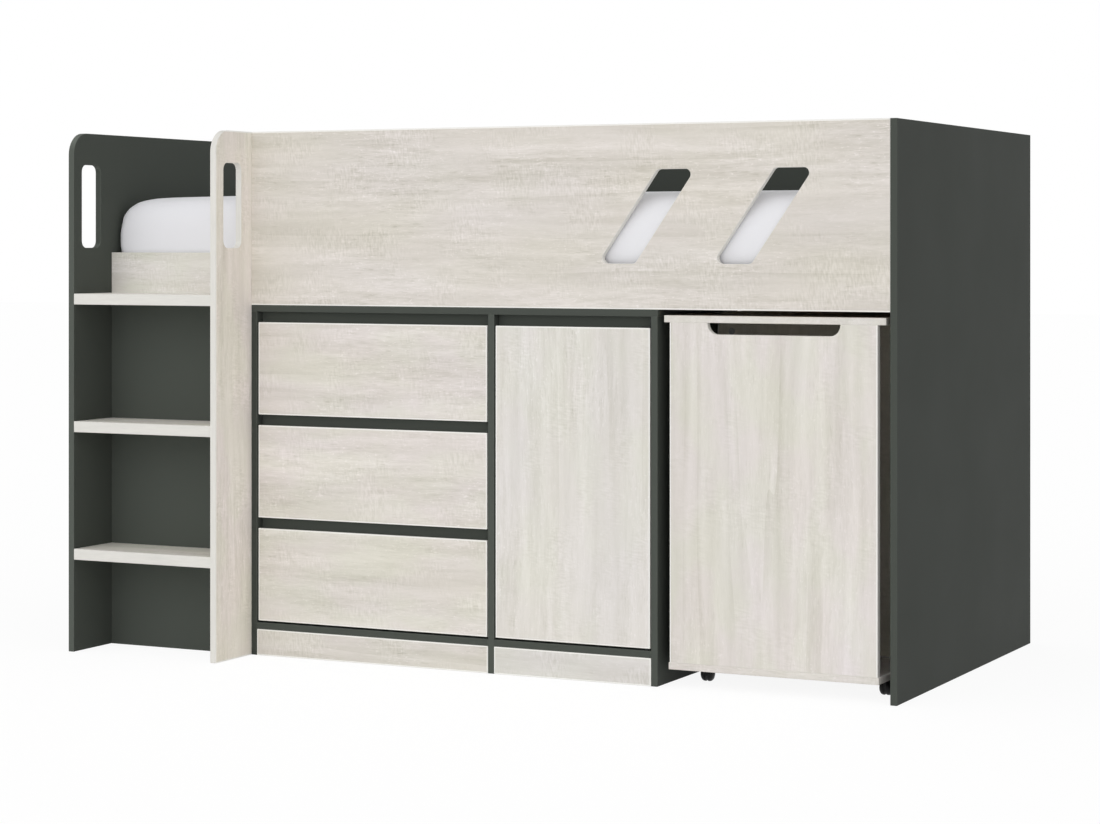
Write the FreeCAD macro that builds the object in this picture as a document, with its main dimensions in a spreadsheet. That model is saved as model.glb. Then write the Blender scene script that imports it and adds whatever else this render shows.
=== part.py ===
import FreeCAD, Part
import math
import os
import re

import Sketcher

# Cabin bed: a raised single bed over a chest of drawers, a cupboard and a pull-out desk,
# with three steps at the left end. Millimetres, +X right, +Y back, +Z up, floor at zero.

doc = FreeCAD.newDocument("cabin_bed")
sheet = doc.addObject("Spreadsheet::Sheet", "sizes")

# Driving sizes: alias, value in millimetres (or a count), meaning
SIZES = [
    ("board", 15, "panel thickness"),
    ("edge_ease", 0.8, "broken edge of every panel"),
    ("height", 1200, "overall height"),
    ("inner_length", 1930, "clear length between the end panels"),
    ("bed_depth", 962, "front plane to back face"),
    ("step_projection", 148, "steps in front of the front plane"),
    ("entry_width", 375, "clear width of the steps"),
    ("guard_height", 397, "front and rear guard panels"),
    ("entry_rail_height", 120, "low rail at the top of the steps"),
    ("step_board", 25, "step thickness"),
    ("step_rise", 295, "from one step to the next"),
    ("corner_round", 51, "top front corner of the tall side panels"),
    ("handle_width", 73, "hand hold slot, across"),
    ("handle_height", 193, "hand hold slot, up"),
    ("handle_edge", 32, "hand hold slot to the front edge"),
    ("handle_drop", 73, "hand hold slot to the top edge"),
    ("handle_round", 17, "hand hold slot corner radius"),
    ("window_end", 165.5, "last slanted window, upper right corner, to the guard's right end"),
    ("window_width", 88, "slanted window, along the guard"),
    ("window_height", 201.5, "slanted window, up"),
    ("window_lean", 140, "slanted window, shift from bottom to top"),
    ("window_pitch", 267, "from one slanted window to the next"),
    ("window_round", 12, "slanted window corner radius"),
    ("desk_bay", 520, "clear width for the desk"),
    ("cupboard_bay", 377, "clear width of the cupboard"),
    ("cabinet_depth", 450, "chest and cupboard, front to back"),
    ("plinth_height", 60, "kick board"),
    ("back_board", 3, "thin back and drawer bottoms"),
    ("finger_gap", 24.4, "hand gap above each front"),
    ("front_gap", 3, "running gap beside each front"),
    ("bottom_gap", 4.5, "running gap under the lowest front"),
    ("front_recess", 1.5, "fronts behind the front plane"),
    ("finger_bevel", 9, "sloped rear top edge of each front"),
    ("rail_recess", 23, "finger rails behind the front plane"),
    ("rail_height", 50, "finger rails"),
    ("drawer_board", 12, "drawer sides and back"),
    ("drawer_length", 400, "drawer box, front to back"),
    ("drawer_drop", 38.5, "drawer sides below the upper edge of their front"),
    ("drawer_lift", 20, "drawer box above the lower edge of its front"),
    ("slide_space", 12.7, "room for a slide on each side of a drawer"),
    ("slide_lift", 45, "slide above the drawer's lower edge"),
    ("slide_height", 36, "slide channel"),
    ("slide_flange", 9.5, "slide channel flange"),
    ("slide_sheet", 1.2, "slide sheet metal"),
    ("slide_clearance", 0.4, "between the two slide channels"),
    ("slide_setback", 2, "slides behind the drawer front"),
    ("shelf_lift", 340, "cupboard shelf above the cupboard floor"),
    ("shelf_depth", 390, "cupboard shelf, front to back"),
    ("shelf_gap", 1, "cupboard shelf to the cupboard sides"),
    ("shelf_pin_radius", 2.5, "shelf pin"),
    ("shelf_pin_hold", 9, "shelf pin inside the panel"),
    ("shelf_pin_reach", 10, "shelf pin under the shelf"),
    ("shelf_pin_inset", 45, "shelf pin to the shelf's front and rear edges"),
    ("pivot_inset", 10, "door pivot to the door's hinge edge"),
    ("pivot_radius", 3, "door pivot pin"),
    ("pivot_hold", 15, "pivot pin inside the door"),
    ("pivot_clearance", 0.05, "pivot pin in its seat, radial"),
    ("pivot_sheet", 2, "pivot bracket sheet metal"),
    ("pivot_gap", 1, "pivot bracket above the door"),
    ("pivot_bush_radius", 5, "bush in the cupboard floor"),
    ("pivot_bush_height", 10, "bush in the cupboard floor"),
    ("seat_clearance", 0.3, "running gap under a turning collar and beside a wheel"),
    ("desk_side_gap", 11.5, "desk top to the sides of its bay"),
    ("desk_top_gap", 12, "desk top to the guard above"),
    ("desk_setback", 9, "desk front behind the front plane"),
    ("desk_overhang_left", 13, "desk top past the desk front at the left"),
    ("desk_overhang_right", 18.5, "desk top past the desk front at the right"),
    ("desk_rear_gap", 53, "desk top to the back face of the bed"),
    ("pedestal_depth", 263, "desk front face to the inner panel's front face"),
    ("base_reach", 2.5, "base boards past the desk front at each side"),
    ("foot_depth", 90, "rear foot board of the desk"),
    ("grip_width", 297, "hand grip in the desk front"),
    ("grip_depth", 24.5, "hand grip in the desk front"),
    ("grip_round", 23, "hand grip lower corners"),
    ("castor_height", 38, "floor to the underside of the desk base"),
    ("castor_inset_left", 54, "castor centre to the left side of the desk top"),
    ("castor_inset_right", 38, "castor centre to the right side of the desk top"),
    ("castor_front", 112, "front castor centre behind the desk front"),
    ("wheel_radius", 16, "castor wheel"),
    ("wheel_width", 29, "castor wheel pair over both treads"),
    ("axle_radius", 3, "castor axle"),
    ("axle_clearance", 0.05, "castor axle in its web, radial"),
    ("web_thickness", 5, "castor web between the treads"),
    ("web_radius", 14.5, "castor web round the axle"),
    ("plate_thickness", 3, "castor plate"),
    ("plate_length", 40, "castor plate, front to back"),
    ("slat_count", 14, "bed slats"),
    ("slat_width", 70, "bed slat"),
    ("slat_thickness", 18, "bed slat"),
    ("slat_gap", 2, "slat end to the guard panels"),
    ("slat_rail_width", 22, "slat rail"),
    ("slat_rail_height", 34, "slat rail"),
    ("mattress_end_gap", 6, "mattress to the end panels"),
    ("mattress_side_gap", 6, "mattress to the front and rear guard panels"),
    ("mattress_height", 205, "mattress"),
    ("mattress_corner", 11, "corner radius of the mattress seen from above, half way up"),
    ("mattress_face_corner", 38, "corner radius of the mattress's faces"),
    ("mattress_roll", 72, "how far the soft sides of the mattress come round inwards"),
    ("mattress_crown", 8, "rise of the upper face past the soft sides"),
    ("mattress_rest", 0.3, "mattress above the slats"),
    ("cam_radius", 7.5, "cam lock disc"),
    ("cam_depth", 12, "cam lock disc"),
    ("cam_inset", 34, "cam lock to the panel's end"),
    ("cam_edge", 60, "cam lock to the panel's long edge"),
    ("cam_drop", 26, "cam lock under the desk top"),
    ("cam_clearance", 0.1, "cam lock in its bore, radial"),
]

for row, (alias, value, meaning) in enumerate(SIZES, start=1):
    sheet.set(f"A{row}", meaning)
    sheet.set(f"B{row}", str(value))
    sheet.setAlias(f"B{row}", alias)
doc.recompute()

ALIASES = {alias for alias, value, meaning in SIZES}

# Places worked out from the driving sizes
PLACES = {
    "left_x": "-(inner_length + 2 * board) / 2",
    "inner_left_x": "left_x + board",
    "inner_right_x": "inner_left_x + inner_length",
    "side_x": "inner_left_x + entry_width",
    "bay_x": "side_x + board",
    "guard_length": "inner_length - entry_width - board",
    "window_start": "guard_length - window_end - window_pitch - window_width - window_lean",
    "step_front_y": "-(bed_depth + step_projection) / 2",
    "front_y": "step_front_y + step_projection",
    "inner_front_y": "front_y + board",
    "inner_rear_y": "front_y + bed_depth - board",
    "guard_z": "height - guard_height",
    # chest of drawers and cupboard
    "cabinet_length": "guard_length - desk_bay",
    "drawer_bay": "cabinet_length - 3 * board - cupboard_bay",
    "drawer_x": "bay_x + board",
    "divider_x": "drawer_x + drawer_bay",
    "cupboard_x": "divider_x + board",
    "cabinet_right_x": "cupboard_x + cupboard_bay",
    "carcass_depth": "cabinet_depth - back_board",
    "floor_z": "plinth_height + board",
    "ceiling_z": "guard_z - board",
    "front_z": "floor_z + bottom_gap",
    "front_height": "(ceiling_z - front_z) / 3 - finger_gap",
    "front_pitch": "front_height + finger_gap",
    "door_height": "3 * front_height + 2 * finger_gap",
    "face_y": "front_y + front_recess",
    "box_y": "face_y + board",
    "box_x": "drawer_x + slide_space",
    "box_width": "drawer_bay - 2 * slide_space",
    "drawer_height": "front_height - drawer_lift - back_board - drawer_drop",
    "pivot_x": "cabinet_right_x - front_gap - pivot_inset",
    "pivot_y": "face_y + board / 2",
    "door_top_z": "front_z + door_height",
    "shelf_y": "front_y + carcass_depth - shelf_depth",
    "shelf_z": "floor_z + shelf_lift",
    # pull-out desk
    "desk_bay_x": "bay_x + cabinet_length",
    "desk_x": "desk_bay_x + desk_side_gap",
    "desk_width": "desk_bay - 2 * desk_side_gap",
    "desk_y": "front_y + desk_setback",
    "desk_length": "bed_depth - desk_setback - desk_rear_gap",
    "desk_top_z": "guard_z - desk_top_gap - board",
    "desk_front_x": "desk_x + desk_overhang_left",
    "desk_front_width": "desk_width - desk_overhang_left - desk_overhang_right",
    "base_x": "desk_front_x - base_reach",
    "base_width": "desk_front_width + 2 * base_reach",
    "leg_z": "castor_height + board",
    "inner_panel_y": "desk_y + pedestal_depth",
    "foot_y": "desk_y + desk_length - foot_depth",
    "rear_leg_y": "foot_y + (foot_depth - board) / 2",
    # bed base and mattress
    "slat_rail_z": "guard_z",
    "slat_z": "slat_rail_z + slat_rail_height",
    "slat_pitch": "inner_length / slat_count",
    "mattress_length": "inner_length - 2 * mattress_end_gap",
    "mattress_width": "bed_depth - 2 * board - 2 * mattress_side_gap",
    "mattress_z": "slat_z + slat_thickness + mattress_rest",
}


def bound(text):
    """Writes out an expression in named sizes and places as one in sheet cells."""
    def replace(match):
        word = match.group(0)
        if word in PLACES:
            return "(" + bound(PLACES[word]) + ")"
        if word in ALIASES:
            return "sizes." + word
        return word
    return re.sub(r"[a-z_]+", replace, str(text))


def value_of(text):
    """Reads an expression's present value in millimetres."""
    return float(sheet.evalExpression(bound(text)))


def put(thing, place):
    """Binds an object's position to three expressions."""
    for axis, text in zip("xyz", place):
        thing.setExpression(f"Placement.Base.{axis}", bound(text))


def ease_edges(body, feature):
    """Breaks every edge of a panel."""
    doc.recompute()
    chamfer = body.newObject("PartDesign::Chamfer", body.Name + "_edges")
    chamfer.Base = (feature, ["Edge1"])
    chamfer.UseAllEdges = True
    chamfer.setExpression("Size", bound("edge_ease"))


def board(label, size, place, eased=True):
    """A plain rectangular board: sizes along X, Y and Z, and the place of its lowest corner."""
    body = doc.addObject("PartDesign::Body", label)
    block = body.newObject("PartDesign::AdditiveBox", label + "_block")
    for name, text in zip(("Length", "Width", "Height"), size):
        block.setExpression(name, bound(text))
    put(body, place)
    if eased:
        ease_edges(body, block)
    return body


def outline_sketch(body, name, role, outlines):
    """A sketch of closed straight-sided outlines, every corner bound to two expressions."""
    sketch = body.newObject("Sketcher::SketchObject", name)
    plane = next(item for item in body.Origin.OriginFeatures if item.Role == role)
    sketch.AttachmentSupport = [(plane, "")]
    sketch.MapMode = "FlatFace"
    first = 0
    for corners in outlines:
        points = [FreeCAD.Vector(value_of(across), value_of(up), 0) for across, up in corners]
        count = len(points)
        for index in range(count):
            sketch.addGeometry(Part.LineSegment(points[index], points[(index + 1) % count]), False)
        for index in range(count):
            following = first + (index + 1) % count
            sketch.addConstraint(Sketcher.Constraint("Coincident", first + index, 2, following, 1))
        for index, corner in enumerate(corners):
            line = first + index
            for letter, kind, text in zip("xy", ("DistanceX", "DistanceY"), corner):
                number = sketch.addConstraint(Sketcher.Constraint(kind, -1, 1, line, 1, value_of(text)))
                sketch.renameConstraint(number, f"{letter}{line}")
                sketch.setExpression(f"Constraints.{letter}{line}", bound(text))
        first += count
    return sketch


def profile_body(label, role, outlines, length, place):
    """A body padded from outlines: across X from YZ_Plane, or back along Y from XZ_Plane."""
    body = doc.addObject("PartDesign::Body", label)
    sketch = outline_sketch(body, label + "_outline", role, outlines)
    pad = body.newObject("PartDesign::Pad", label + "_pad")
    pad.Profile = sketch
    pad.setExpression("Length", bound(length))
    pad.Reversed = role == "XZ_Plane"
    put(body, place)
    return body, pad


def round_corners(body, feature, role, corners, radius):
    """Rounds the corners of a padded panel that run through its thickness."""
    doc.recompute()
    targets = [(value_of(across), value_of(up)) for across, up in corners]
    names = []
    for number, edge in enumerate(feature.Shape.Edges, start=1):
        start, end = edge.Vertexes[0].Point, edge.Vertexes[-1].Point
        first, second = ((start.y, start.z), (end.y, end.z)) if role == "YZ_Plane" else (
            (start.x, start.z), (end.x, end.z))
        through = abs(first[0] - second[0]) + abs(first[1] - second[1]) < 1e-6
        wanted = any(abs(first[0] - a) + abs(first[1] - b) < 1e-6 for a, b in targets)
        if through and wanted:
            names.append(f"Edge{number}")
    fillet = body.newObject("PartDesign::Fillet", f"{body.Name}_{radius}")
    fillet.Base = (feature, names)
    fillet.setExpression("Radius", bound(radius))
    return fillet


TURN_BACK = FreeCAD.Rotation(FreeCAD.Vector(1, 0, 0), -90)
TURN_FRONT = FreeCAD.Rotation(FreeCAD.Vector(1, 0, 0), 90)
TURN_RIGHT = FreeCAD.Rotation(FreeCAD.Vector(0, 1, 0), 90)
TURN_LEFT = FreeCAD.Rotation(FreeCAD.Vector(0, 1, 0), -90)
UPRIGHT = FreeCAD.Rotation()


def round_feature(body, kind, name, radius, length, place, turn):
    """A cylinder added to or cut from a body, at a place in that body."""
    feature = body.newObject(kind, name)
    feature.setExpression("Radius", bound(radius))
    feature.setExpression("Height", bound(length))
    feature.Placement = FreeCAD.Placement(FreeCAD.Vector(), turn)
    put(feature, place)
    return feature


def bore(body, name, radius, length, place, turn):
    """A round hole in a body."""
    return round_feature(body, "PartDesign::SubtractiveCylinder", name, radius, length, place, turn)


def disc(name, radius, length, place, turn):
    """A loose cylinder, one member of a group."""
    solid = doc.addObject("Part::Cylinder", name)
    solid.setExpression("Radius", bound(radius))
    solid.setExpression("Height", bound(length))
    solid.Placement = FreeCAD.Placement(FreeCAD.Vector(), turn)
    put(solid, place)
    return solid


def group(label, members):
    """Separate solids that share one node."""
    compound = doc.addObject("Part::Compound", label)
    compound.Links = members
    return compound


nodes = []

# Tall side panels with a rounded top front corner and a hand hold slot
FULL_DEPTH = "bed_depth + step_projection"


def tall_side(label, depth, x):
    slot_top = "height - handle_drop"
    slot_low = "height - handle_drop - handle_height"
    slot_back = "handle_edge + handle_width"
    outer = [("0", "0"), (depth, "0"), (depth, "height"), ("0", "height")]
    slot = [("handle_edge", slot_low), (slot_back, slot_low), (slot_back, slot_top),
            ("handle_edge", slot_top)]
    body, pad = profile_body(label, "YZ_Plane", [outer, slot], "board", (x, "step_front_y", "0"))
    corner = round_corners(body, pad, "YZ_Plane", [outer[3]], "corner_round")
    rounded = round_corners(body, corner, "YZ_Plane", slot, "handle_round")
    ease_edges(body, rounded)
    return body


nodes.append(tall_side("left_end_panel", FULL_DEPTH, "left_x"))
nodes.append(tall_side("step_side_panel", "step_projection + board", "side_x"))
nodes.append(board("right_end_panel", ("board", "bed_depth", "height"), ("inner_right_x", "front_y", "0")))

# Steps, their back panel and the low rail above them
for drop, label in enumerate(("step_top", "step_middle", "step_bottom")):
    nodes.append(board(label, ("entry_width", "step_projection", "step_board"),
                       ("inner_left_x", "step_front_y", f"guard_z - {drop} * step_rise")))
nodes.append(board("step_back_panel", ("entry_width", "board", "guard_z"),
                   ("inner_left_x", "front_y", "0")))


# Guard panels; each has cam locks let into the face that looks at the mattress
cam_locks = []


def cam_bores(body, name, corners, face, turn, place):
    """Bores for cam locks in one face of a panel, and the locks that fill them."""
    for number, (across, up) in enumerate(corners, start=1):
        bore(body, f"{name}_bore_{number}", "cam_radius", "cam_depth", (across, face, up), turn)
        spot = (f"{place[0]} + {across}", f"{place[1]} + {face}", f"{place[2]} + {up}")
        yield disc(f"{name}_lock_{number}", "cam_radius - cam_clearance", "cam_depth", spot, turn)


def end_corners(length, rows):
    """Cam lock positions at both ends of a panel."""
    return [(across, up) for across in ("cam_inset", f"{length} - cam_inset") for up in rows]


GUARD_ROWS = ("cam_edge", "guard_height - cam_edge")


def front_guard():
    low = "(guard_height - window_height) / 2"
    high = "(guard_height + window_height) / 2"
    outlines = [[("0", "0"), ("guard_length", "0"), ("guard_length", "guard_height"),
                 ("0", "guard_height")]]
    for number in range(2):
        start = f"window_start + {number} * window_pitch"
        outlines.append([
            (start, low),
            (f"{start} + window_width", low),
            (f"{start} + window_width + window_lean", high),
            (f"{start} + window_lean", high),
        ])
    place = ("bay_x", "front_y", "guard_z")
    body, pad = profile_body("front_guard_panel", "XZ_Plane", outlines, "board", place)
    rounded = round_corners(body, pad, "XZ_Plane", outlines[1] + outlines[2], "window_round")
    ease_edges(body, rounded)
    corners = end_corners("guard_length", GUARD_ROWS)
    cam_locks.extend(cam_bores(body, "front_guard", corners, "board", TURN_FRONT, place))
    return body


def entry_rail():
    place = ("inner_left_x", "front_y", "guard_z")
    body = board("entry_rail", ("entry_width", "board", "entry_rail_height"), place)
    corners = end_corners("entry_width", ("cam_edge",))
    cam_locks.extend(cam_bores(body, "entry_rail", corners, "board", TURN_FRONT, place))
    return body


def rear_guard():
    place = ("inner_left_x", "inner_rear_y", "guard_z")
    body = board("rear_guard_panel", ("inner_length", "board", "guard_height"), place)
    corners = end_corners("inner_length", GUARD_ROWS)
    cam_locks.extend(cam_bores(body, "rear_guard", corners, "0", TURN_BACK, place))
    return body


nodes.append(front_guard())
nodes.append(entry_rail())
nodes.append(rear_guard())
nodes.append(group("frame_cam_locks", cam_locks))

# Bed base: two rails that carry a row of slats
SLAT_RAIL = ("inner_length", "slat_rail_width", "slat_rail_height")
nodes.append(board("slat_rail_front", SLAT_RAIL, ("inner_left_x", "inner_front_y", "slat_rail_z")))
nodes.append(board("slat_rail_rear", SLAT_RAIL,
                   ("inner_left_x", "inner_rear_y - slat_rail_width", "slat_rail_z")))
slats = []
for number in range(int(value_of("slat_count"))):
    slats.append(board(f"slat_{number + 1}",
                       ("slat_width", "bed_depth - 2 * board - 2 * slat_gap", "slat_thickness"),
                       (f"inner_left_x + {number + 0.5} * slat_pitch - slat_width / 2",
                        "inner_front_y + slat_gap", "slat_z"), eased=False))
nodes.append(group("bed_slats", slats))


# Mattress: full soft sides and a crowned upper face, lofted through rounded rectangles
SIDE_SECTIONS = 11
SIDE_FULLNESS = 2.7
CROWN_SHARE = 0.5


def rounded_rectangle(inset, level):
    """The mattress plan drawn in by an inset, with a corner that opens out towards the faces."""
    roll = value_of("mattress_roll")
    corner = value_of("mattress_corner")
    half_x = value_of("mattress_length") / 2 - inset
    half_y = value_of("mattress_width") / 2 - inset
    radius = corner + (value_of("mattress_face_corner") - corner) * min(inset, roll) / roll
    diagonal = radius * math.sqrt(0.5)
    edges = []
    previous = None
    first = None
    for sign_x, sign_y in ((1, -1), (1, 1), (-1, 1), (-1, -1)):
        centre = FreeCAD.Vector(sign_x * (half_x - radius), sign_y * (half_y - radius), level)
        along_x = centre + FreeCAD.Vector(sign_x * radius, 0, 0)
        along_y = centre + FreeCAD.Vector(0, sign_y * radius, 0)
        middle = centre + FreeCAD.Vector(sign_x * diagonal, sign_y * diagonal, 0)
        start, end = (along_y, along_x) if sign_x * sign_y < 0 else (along_x, along_y)
        if previous is not None:
            edges.append(Part.LineSegment(previous, start).toShape())
        first = first or start
        edges.append(Part.Arc(start, middle, end).toShape())
        previous = end
    edges.append(Part.LineSegment(previous, first).toShape())
    return Part.Wire(edges)


def mattress():
    height = value_of("mattress_height")
    roll = value_of("mattress_roll")
    half = (height - value_of("mattress_crown")) / 2
    power = 2 / SIDE_FULLNESS
    # half a full oval from the lower face round to the upper one
    sections = []
    for step in range(SIDE_SECTIONS):
        turn = step / (SIDE_SECTIONS - 1)
        out = math.sin(math.pi * turn) ** power if 0 < turn < 1 else 0
        rise = math.cos(math.pi * turn)
        sections.append((roll * (1 - out), half * (1 - math.copysign(abs(rise) ** power, rise))))
    sections.append((roll + CROWN_SHARE * (value_of("mattress_width") / 2 - roll), height))
    wires = [rounded_rectangle(inset, level) for inset, level in sections]
    solid = doc.addObject("Part::Feature", "mattress")
    solid.Shape = Part.makeLoft(wires, True, True)
    put(solid, ("0", "(inner_front_y + inner_rear_y) / 2", "mattress_z"))
    return solid


nodes.append(mattress())

# Chest and cupboard carcass
CARCASS_SIDE = ("board", "carcass_depth", "ceiling_z")
nodes.append(board("cabinet_left_side", CARCASS_SIDE, ("bay_x", "front_y", "0")))
divider = board("cabinet_divider", CARCASS_SIDE, ("divider_x", "front_y", "0"))
right_side = board("cabinet_right_side", CARCASS_SIDE, ("cabinet_right_x", "front_y", "0"))
nodes.extend([divider, right_side])
nodes.append(board("cabinet_top", ("cabinet_length", "carcass_depth", "board"),
                   ("bay_x", "front_y", "ceiling_z")))
nodes.append(board("cabinet_back", ("cabinet_length", "back_board", "guard_z - plinth_height"),
                   ("bay_x", "front_y + carcass_depth", "plinth_height"), eased=False))
nodes.append(board("drawer_bay_floor", ("drawer_bay", "carcass_depth", "board"),
                   ("drawer_x", "front_y", "plinth_height")))
cupboard_floor = board("cupboard_floor", ("cupboard_bay", "carcass_depth", "board"),
                       ("cupboard_x", "front_y", "plinth_height"))
nodes.append(cupboard_floor)
nodes.append(board("plinth_left", ("drawer_bay", "board", "plinth_height"), ("drawer_x", "front_y", "0")))
nodes.append(board("plinth_right", ("cupboard_bay", "board", "plinth_height"),
                   ("cupboard_x", "front_y", "0")))

# Finger rails behind the hand gaps
RAIL_Y = "front_y + rail_recess"
rail_places = ["ceiling_z - rail_height"]
for count in (2, 1):
    rail_places.append(f"front_z + {count} * front_pitch - finger_gap / 2 - rail_height / 2")
nodes.append(group("drawer_finger_rails", [
    board(f"drawer_finger_rail_{number}", ("drawer_bay", "board", "rail_height"), ("drawer_x", RAIL_Y, up))
    for number, up in enumerate(rail_places, start=1)]))
nodes.append(board("door_finger_rail", ("cupboard_bay", "board", "rail_height"),
                   ("cupboard_x", RAIL_Y, "ceiling_z - rail_height")))

# Cupboard shelf on four pins
nodes.append(board("cupboard_shelf", ("cupboard_bay - 2 * shelf_gap", "shelf_depth", "board"),
                   ("cupboard_x + shelf_gap", "shelf_y", "shelf_z")))
shelf_pins = []
PIN_LENGTH = "shelf_pin_hold + shelf_pin_reach"
PIN_UP = "shelf_z - shelf_pin_radius"
PIN_ROWS = ("shelf_y + shelf_pin_inset", "shelf_y + shelf_depth - shelf_pin_inset")
for number, along in enumerate(PIN_ROWS, start=1):
    bore(divider, f"pin_bore_left_{number}", "shelf_pin_radius", "shelf_pin_hold",
         ("board", f"{along} - front_y", PIN_UP), TURN_LEFT)
    bore(right_side, f"pin_bore_right_{number}", "shelf_pin_radius", "shelf_pin_hold",
         ("0", f"{along} - front_y", PIN_UP), TURN_RIGHT)
    shelf_pins.append(disc(f"pin_left_{number}", "shelf_pin_radius", PIN_LENGTH,
                           ("cupboard_x - shelf_pin_hold", along, PIN_UP), TURN_RIGHT))
    shelf_pins.append(disc(f"pin_right_{number}", "shelf_pin_radius", PIN_LENGTH,
                           ("cabinet_right_x + shelf_pin_hold", along, PIN_UP), TURN_LEFT))
nodes.append(group("shelf_pins", shelf_pins))


# Fronts: a slab whose rear top edge slopes so that fingers hook behind it
def slab_front(label, width, height, place):
    outline = [("0", "0"), ("board", "0"), ("board", f"{height} - finger_bevel"),
               ("board - finger_bevel", height), ("0", height)]
    body, pad = profile_body(label, "YZ_Plane", [outline], width, place)
    ease_edges(body, pad)
    return body


# Cupboard door on two pivot pins near its right edge
door = slab_front("cupboard_door", "cupboard_bay - 2 * front_gap", "door_height",
                  ("cupboard_x + front_gap", "face_y", "front_z"))
PIN_ACROSS = "cupboard_bay - 2 * front_gap - pivot_inset"
PIN_BORE = "pivot_radius + pivot_clearance"
bore(door, "door_bore_low", PIN_BORE, "pivot_hold", (PIN_ACROSS, "board / 2", "0"), UPRIGHT)
bore(door, "door_bore_high", PIN_BORE, "pivot_hold",
     (PIN_ACROSS, "board / 2", "door_height - pivot_hold"), UPRIGHT)
nodes.append(door)


def pivot_pins():
    low = doc.addObject("PartDesign::Body", "pivot_pin_low")
    put(low, ("pivot_x", "pivot_y", "front_z + pivot_hold"))
    reach = "pivot_hold + bottom_gap + pivot_bush_height - seat_clearance"
    round_feature(low, "PartDesign::AdditiveCylinder", "pivot_shank", "pivot_radius", reach,
                  ("0", "0", f"-({reach})"), UPRIGHT)
    collar = "bottom_gap - seat_clearance"
    round_feature(low, "PartDesign::AdditiveCylinder", "pivot_collar", "pivot_bush_radius", collar,
                  ("0", "0", f"-(pivot_hold + {collar})"), UPRIGHT)
    high = disc("pivot_pin_high", "pivot_radius", "pivot_hold + pivot_gap + pivot_sheet",
                ("pivot_x", "pivot_y", "door_top_z - pivot_hold"), UPRIGHT)
    return group("door_pivot_pins", [low, high])


def pivot_seats():
    bush = doc.addObject("PartDesign::Body", "pivot_bush")
    put(bush, ("pivot_x", "pivot_y", "floor_z - pivot_bush_height"))
    round_feature(bush, "PartDesign::AdditiveCylinder", "bush_sleeve", "pivot_bush_radius",
                  "pivot_bush_height", ("0", "0", "0"), UPRIGHT)
    doc.recompute()
    bore(bush, "bush_bore", PIN_BORE, "pivot_bush_height", ("0", "0", "0"), UPRIGHT)
    bore(cupboard_floor, "bush_hole", "pivot_bush_radius", "pivot_bush_height",
         ("pivot_x - cupboard_x", "pivot_y - front_y", "board - pivot_bush_height"), UPRIGHT)
    # bracket: a leaf over the door and a leaf up the cupboard side
    reach = "front_gap + pivot_inset + 3 * pivot_radius"
    rise = "finger_gap - 2 * pivot_gap"
    outline = [("0", "0"), (reach, "0"), (reach, rise), (f"{reach} - pivot_sheet", rise),
               (f"{reach} - pivot_sheet", "pivot_sheet"), ("0", "pivot_sheet")]
    bracket, pad = profile_body("pivot_bracket", "XZ_Plane", [outline], "board",
                                (f"cabinet_right_x - ({reach})", "face_y", "door_top_z + pivot_gap"))
    doc.recompute()
    bore(bracket, "bracket_bore", PIN_BORE, "pivot_sheet", ("3 * pivot_radius", "board / 2", "0"), UPRIGHT)
    return group("door_pivot_seats", [bush, bracket])


nodes.append(pivot_pins())
nodes.append(pivot_seats())


# Drawers: a box behind a slab front, on two-channel slides
def channel(label, height, flange, hand, place):
    """A folded sheet channel along Y; hand 1 opens to +X, hand -1 to -X."""
    web = "slide_sheet" if hand > 0 else f"{flange} - slide_sheet"
    inner_up = f"{height} - slide_sheet"
    if hand > 0:
        outline = [("0", "0"), (flange, "0"), (flange, "slide_sheet"), (web, "slide_sheet"),
                   (web, inner_up), (flange, inner_up), (flange, height), ("0", height)]
    else:
        outline = [("0", "0"), (flange, "0"), (flange, height), ("0", height), ("0", inner_up),
                   (web, inner_up), (web, "slide_sheet"), ("0", "slide_sheet")]
    body, pad = profile_body(label, "XZ_Plane", [outline], "drawer_length - slide_setback", place)
    return body


INNER_CHANNEL = "slide_height - 2 * slide_sheet - 2 * slide_clearance"
INNER_LIFT = "slide_sheet + slide_clearance"
runners = []
for step, label in enumerate(("bottom", "middle", "top")):
    name = f"drawer_{label}"
    low_z = f"front_z + {step} * front_pitch"
    box_z = f"{low_z} + drawer_lift"
    wall_z = f"{box_z} + back_board"
    slide_z = f"{box_z} + slide_lift"
    slide_y = "box_y + slide_setback"
    box_right_x = "box_x + box_width"
    nodes.append(slab_front(f"{name}_front", "drawer_bay - 2 * front_gap", "front_height",
                            ("drawer_x + front_gap", "face_y", low_z)))
    wall = ("drawer_board", "drawer_length", "drawer_height")
    nodes.append(group(f"{name}_sides", [
        board(f"{name}_side_left", wall, ("box_x", "box_y", wall_z)),
        board(f"{name}_side_right", wall, (f"{box_right_x} - drawer_board", "box_y", wall_z))]))
    nodes.append(board(f"{name}_back", ("box_width - 2 * drawer_board", "drawer_board", "drawer_height"),
                       ("box_x + drawer_board", "box_y + drawer_length - drawer_board", wall_z)))
    nodes.append(board(f"{name}_bottom", ("box_width", "drawer_length", "back_board"),
                       ("box_x", "box_y", box_z), eased=False))
    nodes.append(group(f"{name}_slides", [
        channel(f"{name}_slide_left", INNER_CHANNEL, "slide_flange", -1,
                ("box_x - slide_flange", slide_y, f"{slide_z} + {INNER_LIFT}")),
        channel(f"{name}_slide_right", INNER_CHANNEL, "slide_flange", 1,
                (box_right_x, slide_y, f"{slide_z} + {INNER_LIFT}"))]))
    runners.append(channel(f"{name}_runner_left", "slide_height", "slide_flange", 1,
                           ("drawer_x", slide_y, slide_z)))
    runners.append(channel(f"{name}_runner_right", "slide_height", "slide_flange", -1,
                           ("divider_x - slide_flange", slide_y, slide_z)))
nodes.append(group("drawer_runners", runners))

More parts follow.
